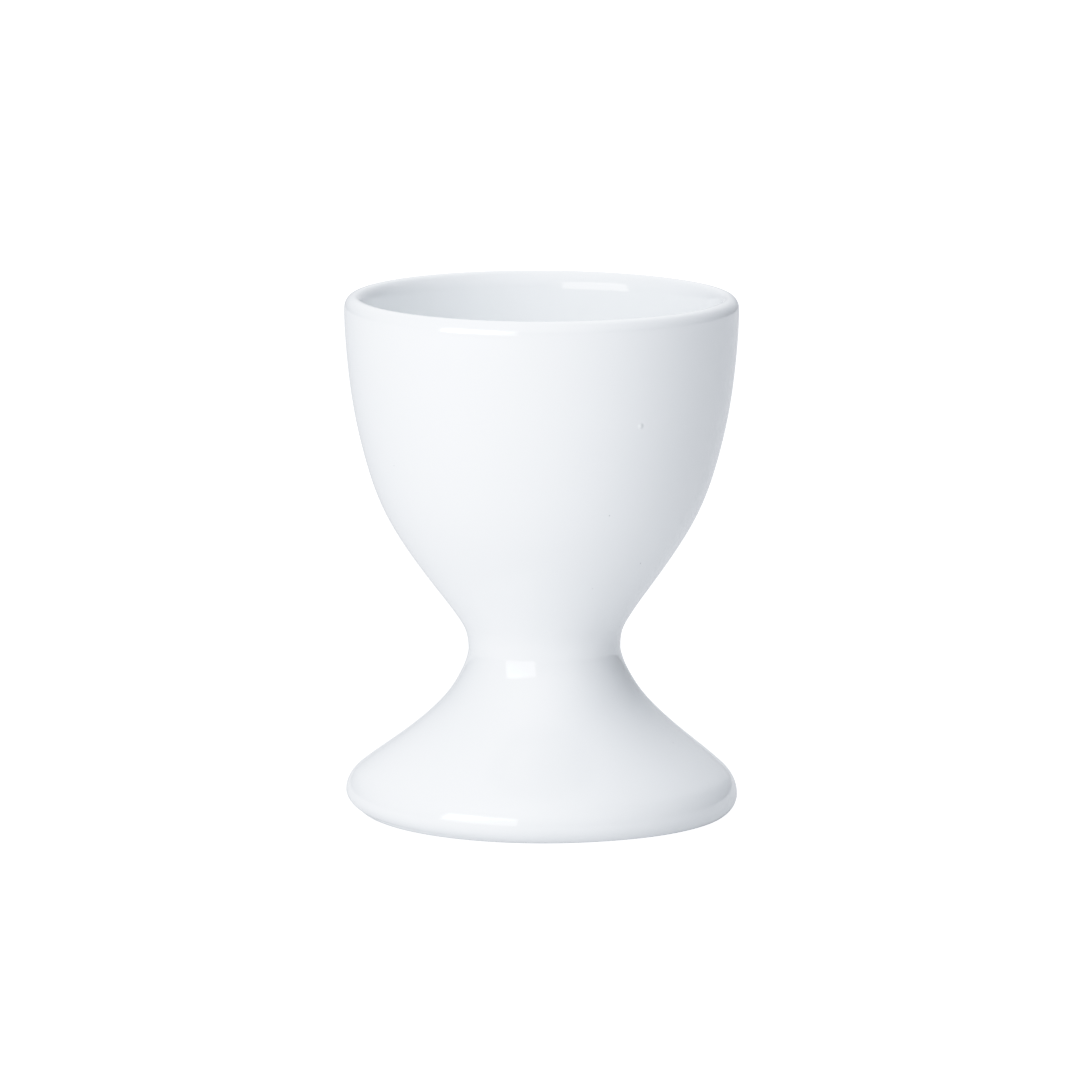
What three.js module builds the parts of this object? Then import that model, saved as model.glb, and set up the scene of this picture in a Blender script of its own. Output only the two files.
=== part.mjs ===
// A footed egg cup of white glazed hotel porcelain, 64 mm tall and 48.4 mm across the rim.
//
// The ware is formed as two clay pieces, a thick-walled bowl and a hollow pedestal foot, which are stuck
// together at the waist with slip, then glazed all over except for the ring that the cup stands on.
// Each piece is turned about +Z from one outline. The origin is the centre of the foot ring, on the table.
import * as THREE from "three";

// Driving dimensions, in millimetres.
const HEIGHT = 64; // table to the top of the lip
const RIM_RADIUS = 24.22; // outside of the bowl, at its widest, just under the lip
const WAIST_RADIUS = 9.38; // the narrowest place, where bowl and foot meet
const FOOT_RADIUS = 24.22; // outside of the foot, at its widest
const LIP_RADIUS = 22.9; // the circle along the very top of the lip
const WELL_RADIUS = 21.6; // inside of the bowl, at its widest
const WELL_FLOOR = 31; // height of the deepest point inside the bowl
const SHOULDER_HEIGHT = 61.4; // where the inside of the lip runs into the wall of the well
const RING_OUTER_RADIUS = 21.55; // outer edge of the flat ring that stands on the table
const RING_INNER_RADIUS = 19.45; // its inner edge
const RING_ROUND = 0.9; // rounding between the ring and the hollow of the foot
const HOLLOW_HEIGHT = 14.6; // how far the hollow of the foot reaches up
const SLIP_GAP = 0.3; // thickness of the slip film between bowl and foot
const SEAT_DEPTH = 1.2; // how far the bowl's round base sits down into the dished top of the foot

// How finely the round shapes are faceted.
const SEGMENTS = 64; // facets round each piece
const LONGEST_FACET = 2.9; // along the outline, in millimetres
const SHARPEST_TURN = THREE.MathUtils.degToRad(15); // between one facet of the outline and the next

// Stations of the outside, from the rim down. Lean is the wall's angle from the vertical in degrees,
// positive where the wall draws in on its way down and negative where it flares out.
const RIM = { r: RIM_RADIUS, z: 62.45, lean: 0 };
const WALL = { r: 23.72, z: 54.8, lean: 5.6 };
const BELLY = { r: 20.68, z: 40.5, lean: 18.1 };
const CONE = { r: 13.77, z: 28.55, lean: 36.1 };
const NECK = { r: 10.05, z: 23.3, lean: 30.6 };
const WAIST = { r: WAIST_RADIUS, z: 20.1, lean: 0 };
const ANKLE = { r: 10.32, z: 17.25, lean: -22.9 };
const FLARE = { r: 16.17, z: 10.3, lean: -48.4 };
const TOE = { r: 22.78, z: 5.05, lean: -48.9 };
const EDGE = { r: FOOT_RADIUS, z: 2.2, lean: 0 };

// Stations of the hollow under the foot, from the axis down to the ring.
const HOLLOW_TOP = { r: 0, z: HOLLOW_HEIGHT, lean: -90 };
const HOLLOW_WALL = { r: 15, z: 6.7, lean: -50 };
const HOLLOW_MOUTH = { r: RING_INNER_RADIUS - RING_ROUND, z: RING_ROUND, lean: 0 };

const GLAZE_COLOUR = 0xeef1f5;
const GLAZE_ROUGHNESS = 0.08;
const QUARTER = Math.PI / 2;
const ROUNDING_ERROR = 1e-6;

// Number of facets for a run of outline with this length and this change of direction.
function facets(length, turn) {
  return Math.ceil(Math.max(length / LONGEST_FACET, turn / SHARPEST_TURN));
}

// Direction of travel down the wall at a station.
function downAlong(station) {
  const lean = THREE.MathUtils.degToRad(station.lean);
  return new THREE.Vector2(-Math.sin(lean), -Math.cos(lean));
}

// The curve between two neighbouring stations. Its handles are those of a circular arc with the same turn.
function sweep(from, to) {
  const start = new THREE.Vector2(from.r, from.z);
  const end = new THREE.Vector2(to.r, to.z);
  const turn = THREE.MathUtils.degToRad(Math.abs(to.lean - from.lean));
  const handle = start.distanceTo(end) / (3 * Math.cos(turn / 4) ** 2);
  const curve = new THREE.CubicBezierCurve(
    start,
    start.clone().addScaledVector(downAlong(from), handle),
    end.clone().addScaledVector(downAlong(to), -handle),
    end,
  );
  return curve.getPoints(facets(curve.getLength(), turn));
}

// A quarter of an ellipse about (r, z), between two angles measured from the outward direction.
function quarter(r, z, radiusR, radiusZ, fromAngle, toAngle) {
  const curve = new THREE.EllipseCurve(r, z, radiusR, radiusZ, fromAngle, toAngle, toAngle < fromAngle);
  return curve.getPoints(facets(curve.getLength(), QUARTER));
}

// One outline out of several runs of points, each starting at the point where the last one ends.
function join(...runs) {
  return runs.flatMap((run, index) => (index > 0 ? run.slice(1) : run));
}

// A solid turned about +Z. The outline runs down the outside, so it is reversed to face the surface out.
function turned(name, outline, material) {
  for (const end of [outline[0], outline[outline.length - 1]]) {
    if (end.x < ROUNDING_ERROR) end.x = 0;
  }
  const geometry = new THREE.LatheGeometry(outline.toReversed(), SEGMENTS);
  geometry.rotateX(QUARTER);
  const mesh = new THREE.Mesh(geometry, material);
  mesh.name = name;
  return mesh;
}

// The shallow dome where bowl and foot are stuck together, from its rim to the axis.
function seat(rimHeight) {
  return quarter(0, rimHeight, WAIST_RADIUS, SEAT_DEPTH, 0, -QUARTER);
}

// From the middle of the well up over the lip, down the outside and in along the seat.
function bowlOutline() {
  const well = quarter(0, SHOULDER_HEIGHT, WELL_RADIUS, SHOULDER_HEIGHT - WELL_FLOOR, -QUARTER, 0);
  const lipInside = quarter(
    LIP_RADIUS,
    SHOULDER_HEIGHT,
    LIP_RADIUS - WELL_RADIUS,
    HEIGHT - SHOULDER_HEIGHT,
    Math.PI,
    QUARTER,
  );
  const lipOutside = quarter(LIP_RADIUS, RIM.z, RIM.r - LIP_RADIUS, HEIGHT - RIM.z, QUARTER, 0);
  const joint = { ...WAIST, z: WAIST.z + SLIP_GAP / 2 };
  return join(
    well,
    lipInside,
    lipOutside,
    sweep(RIM, WALL),
    sweep(WALL, BELLY),
    sweep(BELLY, CONE),
    sweep(CONE, NECK),
    sweep(NECK, joint),
    seat(joint.z),
  );
}

// From the middle of the seat out to the waist, down the outside, under the ring and up into the hollow.
function footOutline() {
  const joint = { ...WAIST, z: WAIST.z - SLIP_GAP / 2 };
  const edgeRound = quarter(RING_OUTER_RADIUS, EDGE.z, EDGE.r - RING_OUTER_RADIUS, EDGE.z, 0, -QUARTER);
  const ring = [new THREE.Vector2(RING_OUTER_RADIUS, 0), new THREE.Vector2(RING_INNER_RADIUS, 0)];
  const ringRound = quarter(RING_INNER_RADIUS, RING_ROUND, RING_ROUND, RING_ROUND, -QUARTER, -Math.PI);
  const hollow = join(sweep(HOLLOW_TOP, HOLLOW_WALL), sweep(HOLLOW_WALL, HOLLOW_MOUTH));
  return join(
    seat(joint.z).reverse(),
    sweep(joint, ANKLE),
    sweep(ANKLE, FLARE),
    sweep(FLARE, TOE),
    sweep(TOE, EDGE),
    edgeRound,
    ring,
    ringRound,
    hollow.reverse(),
  );
}

function porcelain() {
  return new THREE.MeshStandardMaterial({ color: GLAZE_COLOUR, roughness: GLAZE_ROUGHNESS, metalness: 0 });
}

const eggCup = new THREE.Group();
eggCup.name = "egg_cup";
eggCup.add(
  turned("bowl", bowlOutline(), porcelain()),
  turned("pedestal_foot", footOutline(), porcelain()),
);

export default eggCup;
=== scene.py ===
"""A footed egg cup in white glazed hotel porcelain, on a lit white table in soft studio light.

Lengths are in metres, in the part's own frame: +Z up, with the origin on the table at the centre of the
ring that the cup stands on. The viewer is at -Y, and +X is to the viewer's right.
"""
import math

import bmesh
import bpy
import numpy as np
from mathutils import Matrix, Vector


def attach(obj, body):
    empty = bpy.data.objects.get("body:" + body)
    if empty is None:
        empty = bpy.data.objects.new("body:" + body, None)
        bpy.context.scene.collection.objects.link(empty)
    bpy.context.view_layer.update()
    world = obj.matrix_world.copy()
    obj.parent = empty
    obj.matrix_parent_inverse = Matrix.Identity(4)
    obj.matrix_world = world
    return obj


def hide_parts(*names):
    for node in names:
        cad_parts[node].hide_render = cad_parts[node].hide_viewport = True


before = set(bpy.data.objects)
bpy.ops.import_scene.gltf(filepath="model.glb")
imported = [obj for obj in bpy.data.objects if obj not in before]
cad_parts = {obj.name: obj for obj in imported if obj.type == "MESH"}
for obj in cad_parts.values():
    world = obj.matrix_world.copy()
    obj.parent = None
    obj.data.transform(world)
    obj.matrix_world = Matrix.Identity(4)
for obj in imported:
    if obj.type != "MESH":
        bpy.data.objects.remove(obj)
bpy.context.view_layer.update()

MM = 0.001

# The fine surface.
WELD = 1e-6  # CAD vertices closer than this are one
SEGMENTS = 256  # round each piece
SPLINE_SAMPLES = 40  # points that each CAD point adds to the smooth outline, before it is spaced out
LONGEST_STEP = 0.5 * MM  # along the outline
SHARPEST_TURN = math.radians(5)  # between two steps of the outline
CONE_HEIGHT = 0.15 * MM  # of the shallow cones that close the two pieces inside the joint

# What hand work and the kiln got wrong.
SHIFT = 0.7 * MM  # to the right, on the axis at SHIFT_HEIGHT; it fades to none where the cup is widest
SHIFT_HEIGHT = 8 * MM  # above the table
SHIFT_REACH = 17 * MM  # it has also faded to about a third this far above and below that height
FOOT_TILT = math.radians(1.17)  # the edge of the foot is lower on the right than on the left
RING_HEIGHT = 0.5 * MM  # below this the tilt fades out, so that the ring stays flat on the table
RIM_WARP = 0.07 * MM  # how much the rim sags at the back and at the right

# Glaze.
BODY_COLOUR = (0.918, 0.930, 0.930)
POOLED_COLOUR = (0.892, 0.911, 0.914)
SPECK_COLOUR = (0.40, 0.40, 0.39)
BISCUIT_COLOUR = (0.80, 0.78, 0.73)
GLAZE_IOR = 1.56
GLOSSIEST, DULLEST = 0.03, 0.08  # roughness
BISCUIT_ROUGHNESS = 0.65
CLOUD_SIZE = 14 * MM  # patches of thicker and thinner glaze
CLOUD_RANGE = (0.3, 0.7)  # values of the clouds' noise between which the roughness changes
WAVE_SIZE = 5 * MM  # the slow waves of the glaze
WAVE_DEPTH = 0.02 * MM
PEEL_SIZE = 1.3 * MM  # the fine orange peel on top of them
PEEL_DEPTH = 0.002 * MM
GRAIN_SIZE = 0.15 * MM  # of the bare biscuit
GRAIN_DEPTH = 0.02 * MM
SPECK_SPACING = 2 * MM
SPECK_RADIUS = 0.1 * MM
SPECK_CORE = 0.5  # share of the radius that has the full colour
SPECK_SHARE = 0.12  # of the places where an iron speck could be
GRIT_BEARING = 31  # degrees, of one bit of grit that stands up under the glaze
GRIT_HEIGHT = 50.6 * MM
GRIT_RADIUS = 0.5 * MM
GRIT_RISE = 0.12 * MM
BARE_HEIGHT = 0.12 * MM  # the foot ring is wiped free of glaze up to here
BARE_EDGE = 0.08 * MM  # how far the edge of the glaze wanders up and down

# Studio. Bearings run from the viewer's side, -Y, round by the right, +X. Angles are in degrees.
SOFTBOX_BEARING = -37
SOFTBOX_DISTANCE = 389 * MM
SOFTBOX_MIDDLE = 144 * MM  # above the table
SOFTBOX_SIZE = (330 * MM, 248 * MM)
SOFTBOX_RADIANCE = 5.2
WALL_LIGHTS = (  # bearing, height above the horizon and radiance of each bright area of the white walls
    (-22, 38, 0.7),
    (22, 38, 0.75),
    (90, 8, 0.2),
    (180, 8, 0.5),
    (180, 42, 1.4),
    (180, 68, 1.75),
    (-36, 68, 1.35),
)
WALL_FALLOFF = 7  # power of the cosine: how softly a bright area fades
FLOOR_RADIUS = 900 * MM
FLOOR_ALBEDO = 0.5
FLOOR_RADIANCE = 0.28  # the table is lit from below
FLOOR_ROUGHNESS = 0.9
WHITE_TO_CAMERA = 2.6  # radiance that the backdrop shows to the camera
FLOOR_GLOW = 1.5  # added to the floor for the camera, so that only the contact shadow shows
DIFFUSE_BOUNCES = 8  # so that light finds its way out of the well, from white wall to white wall

# The camera.
CAMERA_PLACE = Vector((-0.2 * MM, -963 * MM, 199.4 * MM))
CAMERA_PITCH = math.radians(9.772)  # downwards
SENSOR = 36  # millimetres
LENS = 264.8  # millimetres, on that sensor
FAR_CLIP = 10  # metres, beyond the far edge of the table
WHITE_LEVEL = 1.55  # radiance that shows as pure white
SHOULDER_START = 0.5  # radiance up to which the response is straight
SHOULDER_END = 1.8  # radiance at which the shoulder would run level, if all of it were used
SHOULDER_SHARE = 0.7  # of the shoulder that is used, before a straight run to white
SHOULDER_POINTS = 6
CHANNELS = (0.903, 0.935, 1.0)  # strength of red, green and blue: a cool cast
CAST_END = 0.985  # response above which the cast fades into pure white


# ---- Shape ----------------------------------------------------------------------------------------


def cad_outline(node):
    """The outline (r, z) of a CAD node, from its highest point on the axis round to its lowest one."""
    mesh = bmesh.new()
    mesh.from_mesh(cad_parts[node].data)
    bmesh.ops.remove_doubles(mesh, verts=mesh.verts, dist=WELD)
    section = {v for v in mesh.verts if abs(v.co.y) < WELD and v.co.x > -WELD}
    point = max((v for v in section if v.co.x < WELD), key=lambda v: v.co.z)
    outline = []
    while point is not None:
        section.discard(point)
        outline.append((max(point.co.x, 0.0), point.co.z))
        neighbours = [edge.other_vert(point) for edge in point.link_edges]
        point = next((v for v in neighbours if v in section), None)
    mesh.free()
    return np.array(outline)


def spline(points):
    """The smooth curve that these points steer: a cubic B-spline, level where it meets the axis."""
    mirror = np.array((-1, 1))
    control = np.vstack([points[1] * mirror, points, points[-2] * mirror])
    runs = []
    for i in range(len(control) - 3):
        t = np.linspace(0, 1, SPLINE_SAMPLES + 1)[:, None]
        weights = (
            (1 - t) ** 3,
            3 * t**3 - 6 * t**2 + 4,
            -3 * t**3 + 3 * t**2 + 3 * t + 1,
            t**3,
        )
        run = sum(weight * point for weight, point in zip(weights, control[i : i + 4])) / 6
        runs.append(run if i == 0 else run[1:])
    return np.vstack(runs)


def spaced(curve):
    """The same curve with fewer points: none further apart, and none turning more, than it may."""
    step = np.diff(curve, axis=0)
    heading = np.unwrap(np.arctan2(step[:, 1], step[:, 0]))
    turn = np.abs(np.diff(heading, prepend=heading[0]))
    effort = np.hypot(step[:, 0], step[:, 1]) / LONGEST_STEP + turn / SHARPEST_TURN
    reached = np.concatenate([[0], np.cumsum(effort)])
    wanted = np.linspace(0, reached[-1], math.ceil(reached[-1]) + 1)
    return np.column_stack([np.interp(wanted, reached, curve[:, axis]) for axis in (0, 1)])


def glazed_outline():
    """The outline of the whole glazed surface, and the index of its waist.

    It runs from the middle of the well over the lip, down the outside, under the ring and up the hollow.
    The two CAD pieces meet at the waist, where the film of slip is filled in.
    """
    bowl = cad_outline("bowl")
    foot = cad_outline("pedestal_foot")
    foot_top = np.argmax(foot[:, 1])
    bowl_wall = bowl[bowl[:, 1] > foot[foot_top, 1]]
    curve = spline(np.vstack([bowl_wall, foot[foot_top:]]))
    waist_height = (bowl_wall[-1, 1] + foot[foot_top, 1]) / 2
    waist = len(curve) - np.argmax(curve[::-1, 1] > waist_height)
    above = spaced(curve[: waist + 1])
    below = spaced(curve[waist:])
    return np.vstack([above, below[1:]]), len(above) - 1


def revolved(outline):
    """The outline turned about the axis, as a grid of points: one row for each point of the outline."""
    angle = np.linspace(0, 2 * math.pi, SEGMENTS, endpoint=False)
    r, z = outline[:, :1], outline[:, 1:]
    return np.stack([r * np.cos(angle), r * np.sin(angle), z + 0 * angle], axis=-1)


def made_by_hand(grid, waist_height):
    """The grid with the errors of hand work and firing: waist off its axis, foot tilted, rim warped."""
    x, y, z = np.moveaxis(grid, -1, 0)
    narrowness = 1 - (x**2 + y**2) / x.max() ** 2
    near_waist = np.exp(-(((z - SHIFT_HEIGHT) / SHIFT_REACH) ** 2))
    above_ring = np.clip(z / RING_HEIGHT, 0, 1)
    below_waist = np.clip(1 - z / waist_height, 0, 1)
    above_waist = np.clip((z - waist_height) / (z.max() - waist_height), 0, 1)
    made = grid.copy()
    made[..., 0] += SHIFT * near_waist * narrowness
    made[..., 2] -= math.tan(FOOT_TILT) * x * above_ring**2 * (3 - 2 * above_ring) * below_waist**4
    made[..., 2] -= RIM_WARP * (1 + x / x.max()) * (1 + y / y.max()) * above_waist**2
    return made


def surface_normals(grid):
    """The outward direction at each point of the grid, whose first and last rows lie on the axis."""
    along = np.gradient(grid, axis=0)
    around = np.roll(grid, -1, axis=1) - np.roll(grid, 1, axis=1)
    normals = np.cross(along, around)
    normals[0] = (0, 0, 1)
    normals[-1] = (0, 0, -1)
    return normals / np.linalg.norm(normals, axis=-1, keepdims=True)


def closed_piece(name, rings, ring_normals, ends, end_normals, cap):
    """A closed mesh of rings of points, drawn together in a point at each end.

    cap is the end, 0 or 1, whose cone closes the joint. Its normals are its own, so that the wall's
    shading runs on from one piece to the next.
    """
    count = len(rings) * SEGMENTS
    vertices = np.vstack([ends[0], rings.reshape(-1, 3), ends[1]])
    normals = np.vstack([end_normals[0], ring_normals.reshape(-1, 3), end_normals[1]])
    index = np.arange(count).reshape(-1, SEGMENTS) + 1
    beside = np.roll(index, -1, axis=1)
    start_fan = [(0, a, b) for a, b in zip(index[0], beside[0])]
    end_fan = [(a, count + 1, b) for a, b in zip(index[-1], beside[-1])]
    quads = np.stack([index[:-1], index[1:], beside[1:], beside[:-1]], axis=-1).reshape(-1, 4)
    faces = start_fan + [tuple(quad) for quad in quads.tolist()] + end_fan
    mesh = bpy.data.meshes.new(name)
    mesh.from_pydata(vertices.tolist(), [], faces)
    mesh.shade_smooth()
    corners = np.empty(len(mesh.loops), int)
    mesh.loops.foreach_get("vertex_index", corners)
    corner_normals = normals[corners]
    cap_corners = slice(0, 3 * SEGMENTS) if cap == 0 else slice(-3 * SEGMENTS, None)
    corner_normals[cap_corners] = end_normals[cap]
    mesh.normals_split_custom_set(corner_normals.tolist())
    return put_in_scene(name, mesh)


def build_cup():
    """The two glazed pieces, which meet edge to edge at the waist."""
    outline, waist = glazed_outline()
    grid = made_by_hand(revolved(outline), outline[waist, 1])
    normals = surface_normals(grid)
    joint = Vector(grid[waist].mean(axis=0))
    up, down = Vector((0, 0, 1)), Vector((0, 0, -1))
    bowl = closed_piece(
        "bowl_glazed",
        grid[1 : waist + 1],
        normals[1 : waist + 1],
        (grid[0, 0], joint + CONE_HEIGHT * up),
        (up, down),
        cap=1,
    )
    foot = closed_piece(
        "foot_glazed",
        grid[waist:-1],
        normals[waist:-1],
        (joint + CONE_HEIGHT * down, grid[-1, 0]),
        (up, down),
        cap=0,
    )
    return bowl, foot


def point_on_wall(piece, bearing, height):
    """The place on the outside of a piece with this bearing from the viewer's side, at this height."""
    points = np.array([vertex.co for vertex in piece.data.vertices])
    wanted = np.array(direction(bearing, 0) * points[:, 0].max()) + (0, 0, height)
    return Vector(points[np.argmin(np.linalg.norm(points - wanted, axis=1))])


# ---- Node trees -----------------------------------------------------------------------------------


class Graph:
    """A node tree, with short ways to add nodes and to feed them."""

    def __init__(self, tree):
        self.tree = tree

    def feed(self, socket, value):
        if isinstance(value, bpy.types.NodeSocket):
            self.tree.links.new(value, socket)
        elif isinstance(value, tuple):
            socket.default_value = (*value, 1.0)
        else:
            socket.default_value = value

    def add(self, kind, settings=None, **inputs):
        """A new node. An input is a number, a colour (a tuple), a vector or another node's output."""
        node = self.tree.nodes.new("ShaderNode" + kind)
        for key, value in (settings or {}).items():
            setattr(node, key, value)
        for key, value in inputs.items():
            self.feed(node.inputs[key.replace("_", " ")], value)
        return node

    def calculate(self, kind, settings, *values):
        """The result of a node that works on values in order."""
        node = self.add(kind, settings)
        for socket, value in zip([socket for socket in node.inputs if socket.enabled], values):
            self.feed(socket, value)
        return next(socket for socket in node.outputs if socket.enabled)

    def math(self, operation, *values):
        return self.calculate("Math", {"operation": operation}, *values)

    def vector(self, operation, *values):
        return self.calculate("VectorMath", {"operation": operation}, *values)

    def blend(self, share, colour, other):
        return self.calculate("Mix", {"data_type": "RGBA"}, share, colour, other)

    def ease(self, value, start, end, low=0.0, high=1.0):
        """A smooth step from low, where value is start, to high, where it is end."""
        settings = {"interpolation_type": "SMOOTHSTEP"}
        return self.calculate("MapRange", settings, value, start, end, low, high)

    def noise(self, place, size, detail=0.0):
        node = self.add("TexNoise", Vector=place, Scale=1 / size, Detail=detail)
        return node.outputs[0]

    def only_for_camera(self, output, plain, seen):
        """Give the camera one shader and everything else the other."""
        ray = self.add("LightPath").outputs["Is Camera Ray"]
        self.feed(output, self.add("MixShader", Fac=ray).outputs[0])
        mix = output.links[0].from_node
        self.feed(mix.inputs[1], plain)
        self.feed(mix.inputs[2], seen)


def new_material(name):
    material = bpy.data.materials.new(name)
    material.use_nodes = True
    return material, Graph(material.node_tree), material.node_tree.nodes["Principled BSDF"]


# ---- Glaze ----------------------------------------------------------------------------------------


def iron_specks(graph, place):
    """How much of a speck there is at this place: here and there a small round dot."""
    cells = graph.add("TexVoronoi", Vector=place, Scale=1 / SPECK_SPACING)
    radius = SPECK_RADIUS / SPECK_SPACING
    dot = graph.ease(cells.outputs["Distance"], SPECK_CORE * radius, radius, 1.0, 0.0)
    chance = graph.add("SeparateColor", Color=cells.outputs["Color"]).outputs[0]
    return graph.math("MULTIPLY", dot, graph.math("LESS_THAN", chance, SPECK_SHARE))


def glaze(name, grit):
    """Clear glaze on a white body: clouds, slow waves, orange peel, a few iron specks and some grit."""
    material, graph, shader = new_material(name)
    place = graph.add("TexCoord").outputs["Object"]
    height = graph.add("SeparateXYZ", Vector=place).outputs["Z"]
    clouds = graph.noise(place, CLOUD_SIZE, detail=2.0)
    waves = graph.noise(place, WAVE_SIZE, detail=1.0)
    peel = graph.noise(place, PEEL_SIZE)
    grain = graph.noise(place, GRAIN_SIZE)
    raised = graph.ease(graph.vector("DISTANCE", place, grit), 0.0, GRIT_RADIUS, 1.0, 0.0)
    edge = graph.math("MULTIPLY_ADD", peel, BARE_EDGE, BARE_HEIGHT - BARE_EDGE / 2)
    bare = graph.math("LESS_THAN", height, edge)

    colour = graph.blend(clouds, BODY_COLOUR, POOLED_COLOUR)
    colour = graph.blend(iron_specks(graph, place), colour, SPECK_COLOUR)
    colour = graph.blend(bare, colour, BISCUIT_COLOUR)
    graph.feed(shader.inputs["Base Color"], colour)

    gloss = graph.ease(clouds, *CLOUD_RANGE, GLOSSIEST, DULLEST)
    roughness = graph.math("ADD", gloss, graph.math("MULTIPLY", bare, BISCUIT_ROUGHNESS))
    graph.feed(shader.inputs["Roughness"], roughness)
    shader.inputs["IOR"].default_value = GLAZE_IOR

    relief = graph.math("MULTIPLY", waves, WAVE_DEPTH)
    relief = graph.math("MULTIPLY_ADD", peel, PEEL_DEPTH, relief)
    relief = graph.math("MULTIPLY_ADD", raised, GRIT_RISE, relief)
    relief = graph.math("MULTIPLY_ADD", graph.math("MULTIPLY", grain, bare), GRAIN_DEPTH, relief)
    bump = graph.add("Bump", Height=relief, Distance=1.0, Strength=1.0)
    graph.feed(shader.inputs["Normal"], bump.outputs[0])
    return material


# ---- Studio ---------------------------------------------------------------------------------------


def direction(bearing, height):
    """The direction with this bearing and this height above the horizon, both in degrees."""
    bearing, height = math.radians(bearing), math.radians(height)
    level = Vector((math.sin(bearing), -math.cos(bearing), 0))
    return math.cos(height) * level + Vector((0, 0, math.sin(height)))


def put_in_scene(name, data):
    thing = bpy.data.objects.new(name, data)
    bpy.context.scene.collection.objects.link(thing)
    return thing


def softbox():
    """The key light: an upright rectangle that faces the cup's axis."""
    lamp = bpy.data.lights.new("softbox", "AREA")
    lamp.shape = "RECTANGLE"
    lamp.size, lamp.size_y = SOFTBOX_SIZE
    lamp.energy = SOFTBOX_RADIANCE * math.pi * lamp.size * lamp.size_y
    light = put_in_scene("softbox", lamp)
    outwards = direction(SOFTBOX_BEARING, 0)
    light.location = outwards * SOFTBOX_DISTANCE + Vector((0, 0, SOFTBOX_MIDDLE))
    light.rotation_euler = (-outwards).to_track_quat("-Z", "Y").to_euler()


def studio_world():
    """The white walls that light the cup, and a plain white backdrop that only the camera sees."""
    world = bpy.data.worlds.new("studio")
    bpy.context.scene.world = world
    world.use_nodes = True
    graph = Graph(world.node_tree)
    towards = graph.add("TexCoord").outputs["Generated"]
    light = 0.0
    for bearing, height, radiance in WALL_LIGHTS:
        facing = graph.vector("DOT_PRODUCT", towards, direction(bearing, height))
        area = graph.math("POWER", graph.math("MAXIMUM", facing, 0.0), WALL_FALLOFF)
        light = graph.math("MULTIPLY_ADD", area, radiance, light)
    walls = graph.add("Background", Color=light)
    backdrop = graph.add("Background", Color=(WHITE_TO_CAMERA,) * 3)
    output = world.node_tree.nodes["World Output"].inputs["Surface"]
    graph.only_for_camera(output, walls.outputs[0], backdrop.outputs[0])


def floor():
    """A round table top of lit white acrylic, which looks as white as the backdrop to the camera."""
    mesh = bpy.data.meshes.new("floor")
    made = bmesh.new()
    bmesh.ops.create_circle(made, cap_ends=True, segments=SEGMENTS, radius=FLOOR_RADIUS)
    made.to_mesh(mesh)
    made.free()
    material, graph, shader = new_material("floor_paint")
    graph.feed(shader.inputs["Base Color"], (FLOOR_ALBEDO,) * 3)
    graph.feed(shader.inputs["Emission Color"], (1.0, 1.0, 1.0))
    graph.feed(shader.inputs["Emission Strength"], FLOOR_RADIANCE)
    shader.inputs["Roughness"].default_value = FLOOR_ROUGHNESS
    shader.inputs["Specular IOR Level"].default_value = 0.0
    glow = graph.add("Emission", Strength=FLOOR_GLOW)
    seen = graph.add("AddShader")
    graph.feed(seen.inputs[0], shader.outputs[0])
    graph.feed(seen.inputs[1], glow.outputs[0])
    output = material.node_tree.nodes["Material Output"].inputs["Surface"]
    graph.only_for_camera(output, shader.outputs[0], seen.outputs[0])
    mesh.materials.append(material)
    put_in_scene("floor", mesh)


def camera():
    data = bpy.data.cameras.new("camera")
    data.sensor_width = SENSOR
    data.lens = LENS
    data.clip_end = FAR_CLIP
    view = put_in_scene("camera", data)
    view.location = CAMERA_PLACE
    view.rotation_euler = (math.pi / 2 - CAMERA_PITCH, 0, 0)
    bpy.context.scene.camera = view


def bounces():
    """Follow the light for more turns than Blender does by itself."""
    bpy.context.scene.cycles.diffuse_bounces = DIFFUSE_BOUNCES


def film():
    """A camera's response: straight in the shade, a soft shoulder for bright glaze, and a cool cast."""
    settings = bpy.context.scene.view_settings
    settings.view_transform = "Standard"
    settings.use_curve_mapping = True
    settings.curve_mapping.white_level = (WHITE_LEVEL,) * 3
    *channels, response = settings.curve_mapping.curves
    for t in np.linspace(0, SHOULDER_SHARE, SHOULDER_POINTS):
        rise = 2 * t * (1 - t) + SHOULDER_START * (1 - t) ** 2
        response.points.new((rise + SHOULDER_END * t * t) / WHITE_LEVEL, rise + t * t)
    for channel, strength in zip(channels, CHANNELS):
        channel.points.new(CAST_END, CAST_END * strength)
        for point in channel.points:
            point.handle_type = "VECTOR"
    settings.curve_mapping.update()


bowl, foot = build_cup()
grit = point_on_wall(bowl, GRIT_BEARING, GRIT_HEIGHT)
for piece, node in ((bowl, "bowl"), (foot, "pedestal_foot")):
    piece.data.materials.append(glaze(piece.name, grit))
    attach(piece, "root")
    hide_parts(node)
floor()
softbox()
studio_world()
camera()
bounces()
film()
